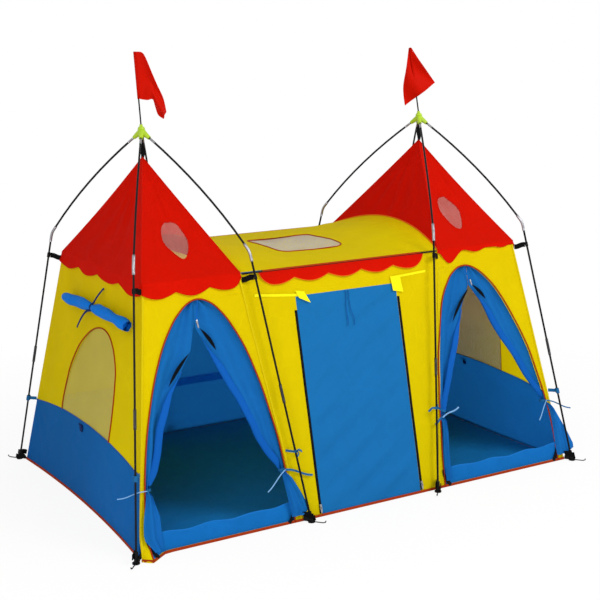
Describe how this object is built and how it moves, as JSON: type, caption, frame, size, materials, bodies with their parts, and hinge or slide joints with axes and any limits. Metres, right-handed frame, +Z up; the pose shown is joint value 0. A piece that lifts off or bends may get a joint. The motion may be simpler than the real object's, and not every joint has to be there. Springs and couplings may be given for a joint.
{
  "type": "play_tent",
  "caption": "Kids play tent with two pole-framed towers under pointed roofs, joined by a room with a zipped door; scalloped eaves, curtained arches and flags.",
  "frame": {"origin": "middle of the plan at ground level", "axes": "+X along the length to the right tower, -Y the front with the doors, +Z up"},
  "size_m": [2.411, 1.5924, 2.0043],
  "materials": {
    "red_cloth": "woven polyester, faint sheen",
    "yellow_cloth": "woven polyester, faint sheen",
    "blue_cloth": "woven polyester, faint sheen",
    "floor_cloth": "coated polyester",
    "flag_cloth": "thin woven polyester",
    "mesh_cloth": "fine net",
    "clear_film": "clear flexible vinyl",
    "lime_plastic": "moulded, semi-gloss",
    "black_plastic": "moulded",
    "black_pole": "resin-coated glass fibre",
    "zip_metal": "painted die casting"
  },
  "bodies": {
    "tent": {"back_eave_rod": "black_pole", "back_wall": "yellow_cloth", "centre_front_wall": "yellow_cloth", "centre_roof": "yellow_cloth", "centre_valance": "red_cloth", "front_eave_rod": "black_pole", "ground_sheet": "floor_cloth", "left_back_inner_foot": "black_plastic", "left_back_inner_leg_pole": "black_pole", "left_back_inner_upper_pole": "black_pole", "left_back_outer_foot": "black_plastic", "left_back_outer_leg_pole": "black_pole", "left_back_outer_upper_pole": "black_pole", "left_flagpole": "black_pole", "left_front_inner_foot": "black_plastic", "left_front_inner_leg_pole": "black_pole", "left_front_inner_upper_pole": "black_pole", "left_front_outer_foot": "black_plastic", "left_front_outer_leg_pole": "black_pole", "left_front_outer_upper_pole": "black_pole", "left_front_wall": "yellow_cloth", "left_hub": "lime_plastic", "left_rolled_flap": "blue_cloth", "left_roof": "red_cloth", "left_roof_window": "clear_film", "left_side_wall": "yellow_cloth", "left_side_window": "mesh_cloth", "left_tower_left_curtain": "blue_cloth", "left_tower_right_curtain": "blue_cloth", "lower_band": "blue_cloth", "right_back_inner_foot": "black_plastic", "right_back_inner_leg_pole": "black_pole", "right_back_inner_upper_pole": "black_pole", "right_back_outer_foot": "black_plastic", "right_back_outer_leg_pole": "black_pole", "right_back_outer_upper_pole": "black_pole", "right_flagpole": "black_pole", "right_front_inner_foot": "black_plastic", "right_front_inner_leg_pole": "black_pole", "right_front_inner_upper_pole": "black_pole", "right_front_outer_foot": "black_plastic", "right_front_outer_leg_pole": "black_pole", "right_front_outer_upper_pole": "black_pole", "right_front_wall": "yellow_cloth", "right_hub": "lime_plastic", "right_rolled_flap": "blue_cloth", "right_roof": "red_cloth", "right_roof_window": "clear_film", "right_side_wall": "yellow_cloth", "right_side_window": "mesh_cloth", "right_tower_left_curtain": "blue_cloth", "right_tower_right_curtain": "blue_cloth", "skylight_mesh": "mesh_cloth"},
    "left_flag_body": {"left_flag": "flag_cloth"},
    "right_flag_body": {"right_flag": "flag_cloth"},
    "door": {"centre_door": "blue_cloth"},
    "left_slider": {"left_zip_slider": "zip_metal"},
    "right_slider": {"right_zip_slider": "zip_metal"},
    "left_pull": {"left_zip_pull": "zip_metal"},
    "right_pull": {"right_zip_pull": "zip_metal"}
  },
  "joints": [
    {"name": "left_flag_turn", "type": "hinge", "parent": "tent", "child": "left_flag_body", "pos_m": [-0.76088, 0.00628, 1.90967], "axis": [-0.0453, 0.0262, 0.9986], "continuous": true},
    {"name": "right_flag_turn", "type": "hinge", "parent": "tent", "child": "right_flag_body", "pos_m": [0.72107, 0.0167, 1.90766], "axis": [-0.1205, 0.0696, 0.9903], "continuous": true},
    {"name": "door_lift", "type": "hinge", "parent": "tent", "child": "door", "pos_m": [0, -0.49849, 0.95], "axis": [-1, 0, 0], "range_deg": [0, 100]},
    {"name": "left_zip_run", "type": "slide", "parent": "tent", "child": "left_slider", "axis": [0, 0.2222, 0.975], "range_m": [0, 0.85]},
    {"name": "left_pull_swing", "type": "hinge", "parent": "left_slider", "child": "left_pull", "pos_m": [-0.2718, -0.71324, 0.045], "axis": [-1, 0, 0], "range_deg": [0, 150]},
    {"name": "right_zip_run", "type": "slide", "parent": "tent", "child": "right_slider", "axis": [0, 0.2222, 0.975], "range_m": [0, 0.85]},
    {"name": "right_pull_swing", "type": "hinge", "parent": "right_slider", "child": "right_pull", "pos_m": [0.2718, -0.71324, 0.045], "axis": [-1, 0, 0], "range_deg": [0, 150]}
  ]
}
